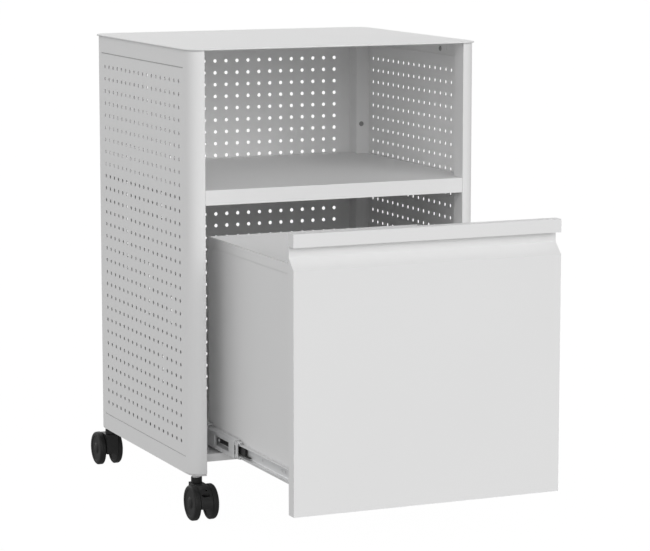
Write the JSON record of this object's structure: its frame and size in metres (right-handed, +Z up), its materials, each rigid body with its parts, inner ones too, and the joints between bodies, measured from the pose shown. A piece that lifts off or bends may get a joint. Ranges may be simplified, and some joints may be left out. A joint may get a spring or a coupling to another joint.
{
  "type": "mobile drawer cabinet",
  "caption": "Steel under-desk cabinet on twin-wheel casters: a deep file drawer with a full-width handle lip below an open shelf compartment with perforated sides and back.",
  "frame": {"origin": "on the floor, at the middle of the bounding box with the drawer open by 300 mm", "axes": "+Z up; the drawer opens towards -Y; +X is to the right for someone facing the front"},
  "size_m": [0.4522, 0.7182, 0.654],
  "materials": {
    "body_paint": "light grey powder coat, satin",
    "drawer_paint": "light grey powder coat, satin",
    "zinc_steel": "bright zinc",
    "grey_plastic": "moulded, matt",
    "black_plastic": "moulded, satin",
    "tyre": "hard nylon, satin"
  },
  "bodies": {
    "cabinet": {"top_panel": "body_paint", "shelf": "body_paint", "bottom_panel": "body_paint", "back_perforated_panel": "body_paint", "back_top_rail": "body_paint", "back_bottom_rail": "body_paint", "left_perforated_panel": "body_paint", "left_top_rail": "body_paint", "left_bottom_rail": "body_paint", "left_slide_bracket": "body_paint", "left_slide_outer": "zinc_steel", "right_perforated_panel": "body_paint", "right_top_rail": "body_paint", "right_bottom_rail": "body_paint", "right_slide_bracket": "body_paint", "right_slide_outer": "zinc_steel", "front_left_post": "body_paint", "front_left_post_plug": "grey_plastic", "front_left_caster_stem": "black_plastic", "front_right_post": "body_paint", "front_right_post_plug": "grey_plastic", "front_right_caster_stem": "black_plastic", "rear_left_post": "body_paint", "rear_left_post_plug": "grey_plastic", "rear_left_caster_stem": "black_plastic", "rear_right_post": "body_paint", "rear_right_post_plug": "grey_plastic", "rear_right_caster_stem": "black_plastic"},
    "drawer": {"drawer_front": "drawer_paint", "drawer_front_liner": "drawer_paint", "drawer_back": "drawer_paint", "drawer_bottom": "drawer_paint", "drawer_left_side": "drawer_paint", "drawer_left_file_rail": "drawer_paint", "left_slide_inner": "zinc_steel", "drawer_right_side": "drawer_paint", "drawer_right_file_rail": "drawer_paint", "right_slide_inner": "zinc_steel"},
    "left_slide_middle_member": {"left_slide_middle": "zinc_steel"},
    "left_slide_ball_cage": {"left_ball_cage": "zinc_steel"},
    "left_slide_release_lever": {"left_release_lever": "black_plastic"},
    "right_slide_middle_member": {"right_slide_middle": "zinc_steel"},
    "right_slide_ball_cage": {"right_ball_cage": "zinc_steel"},
    "right_slide_release_lever": {"right_release_lever": "black_plastic"},
    "front_left_caster_fork": {"front_left_caster_hood": "black_plastic", "front_left_caster_axle": "zinc_steel"},
    "front_left_caster_left_roller": {"front_left_caster_left_wheel": "tyre"},
    "front_left_caster_right_roller": {"front_left_caster_right_wheel": "tyre"},
    "front_right_caster_fork": {"front_right_caster_hood": "black_plastic", "front_right_caster_axle": "zinc_steel"},
    "front_right_caster_left_roller": {"front_right_caster_left_wheel": "tyre"},
    "front_right_caster_right_roller": {"front_right_caster_right_wheel": "tyre"},
    "rear_left_caster_fork": {"rear_left_caster_hood": "black_plastic", "rear_left_caster_axle": "zinc_steel"},
    "rear_left_caster_left_roller": {"rear_left_caster_left_wheel": "tyre"},
    "rear_left_caster_right_roller": {"rear_left_caster_right_wheel": "tyre"},
    "rear_right_caster_fork": {"rear_right_caster_hood": "black_plastic", "rear_right_caster_axle": "zinc_steel"},
    "rear_right_caster_left_roller": {"rear_right_caster_left_wheel": "tyre"},
    "rear_right_caster_right_roller": {"rear_right_caster_right_wheel": "tyre"}
  },
  "joints": [
    {"name": "drawer_slide", "type": "slide", "parent": "cabinet", "child": "drawer", "axis": [0, -1, 0], "range_m": [-0.3, 0.02]},
    {"name": "left_middle_slide", "type": "slide", "parent": "cabinet", "child": "left_slide_middle_member", "axis": [0, -1, 0], "range_m": [-0.1, 0.007]},
    {"name": "left_cage_slide", "type": "slide", "parent": "cabinet", "child": "left_slide_ball_cage", "axis": [0, -1, 0], "range_m": [-0.2, 0.014]},
    {"name": "left_release_lever_pivot", "type": "hinge", "parent": "drawer", "child": "left_slide_release_lever", "pos_m": [-0.16805, -0.03605, 0.1043], "axis": [1, 0, 0], "range_deg": [-1, 1]},
    {"name": "right_middle_slide", "type": "slide", "parent": "cabinet", "child": "right_slide_middle_member", "axis": [0, -1, 0], "range_m": [-0.1, 0.007]},
    {"name": "right_cage_slide", "type": "slide", "parent": "cabinet", "child": "right_slide_ball_cage", "axis": [0, -1, 0], "range_m": [-0.2, 0.014]},
    {"name": "right_release_lever_pivot", "type": "hinge", "parent": "drawer", "child": "right_slide_release_lever", "pos_m": [0.16805, -0.03605, 0.1043], "axis": [1, 0, 0], "range_deg": [-1, 1]},
    {"name": "front_left_caster_swivel", "type": "hinge", "parent": "cabinet", "child": "front_left_caster_fork", "pos_m": [-0.20775, -0.04525, 0.05], "axis": [0, 0, 1], "continuous": true},
    {"name": "front_left_caster_left_spin", "type": "hinge", "parent": "front_left_caster_fork", "child": "front_left_caster_left_roller", "pos_m": [-0.22155, -0.06325, 0.025], "axis": [1, 0, 0], "continuous": true},
    {"name": "front_left_caster_right_spin", "type": "hinge", "parent": "front_left_caster_fork", "child": "front_left_caster_right_roller", "pos_m": [-0.19395, -0.06325, 0.025], "axis": [1, 0, 0], "continuous": true},
    {"name": "front_right_caster_swivel", "type": "hinge", "parent": "cabinet", "child": "front_right_caster_fork", "pos_m": [0.20775, -0.04525, 0.05], "axis": [0, 0, 1], "continuous": true},
    {"name": "front_right_caster_left_spin", "type": "hinge", "parent": "front_right_caster_fork", "child": "front_right_caster_left_roller", "pos_m": [0.19395, -0.06325, 0.025], "axis": [1, 0, 0], "continuous": true},
    {"name": "front_right_caster_right_spin", "type": "hinge", "parent": "front_right_caster_fork", "child": "front_right_caster_right_roller", "pos_m": [0.22155, -0.06325, 0.025], "axis": [1, 0, 0], "continuous": true},
    {"name": "rear_left_caster_swivel", "type": "hinge", "parent": "cabinet", "child": "rear_left_caster_fork", "pos_m": [-0.20775, 0.31605, 0.05], "axis": [0, 0, 1], "continuous": true},
    {"name": "rear_left_caster_left_spin", "type": "hinge", "parent": "rear_left_caster_fork", "child": "rear_left_caster_left_roller", "pos_m": [-0.22155, 0.33405, 0.025], "axis": [1, 0, 0], "continuous": true},
    {"name": "rear_left_caster_right_spin", "type": "hinge", "parent": "rear_left_caster_fork", "child": "rear_left_caster_right_roller", "pos_m": [-0.19395, 0.33405, 0.025], "axis": [1, 0, 0], "continuous": true},
    {"name": "rear_right_caster_swivel", "type": "hinge", "parent": "cabinet", "child": "rear_right_caster_fork", "pos_m": [0.20775, 0.31605, 0.05], "axis": [0, 0, 1], "continuous": true},
    {"name": "rear_right_caster_left_spin", "type": "hinge", "parent": "rear_right_caster_fork", "child": "rear_right_caster_left_roller", "pos_m": [0.19395, 0.33405, 0.025], "axis": [1, 0, 0], "continuous": true},
    {"name": "rear_right_caster_right_spin", "type": "hinge", "parent": "rear_right_caster_fork", "child": "rear_right_caster_right_roller", "pos_m": [0.22155, 0.33405, 0.025], "axis": [1, 0, 0], "continuous": true}
  ],
  "couplings": [
    {"joint": "left_middle_slide", "follows": "drawer_slide", "ratio": 0.33333},
    {"joint": "left_cage_slide", "follows": "drawer_slide", "ratio": 0.66667},
    {"joint": "right_middle_slide", "follows": "drawer_slide", "ratio": 0.33333},
    {"joint": "right_cage_slide", "follows": "drawer_slide", "ratio": 0.66667}
  ]
}
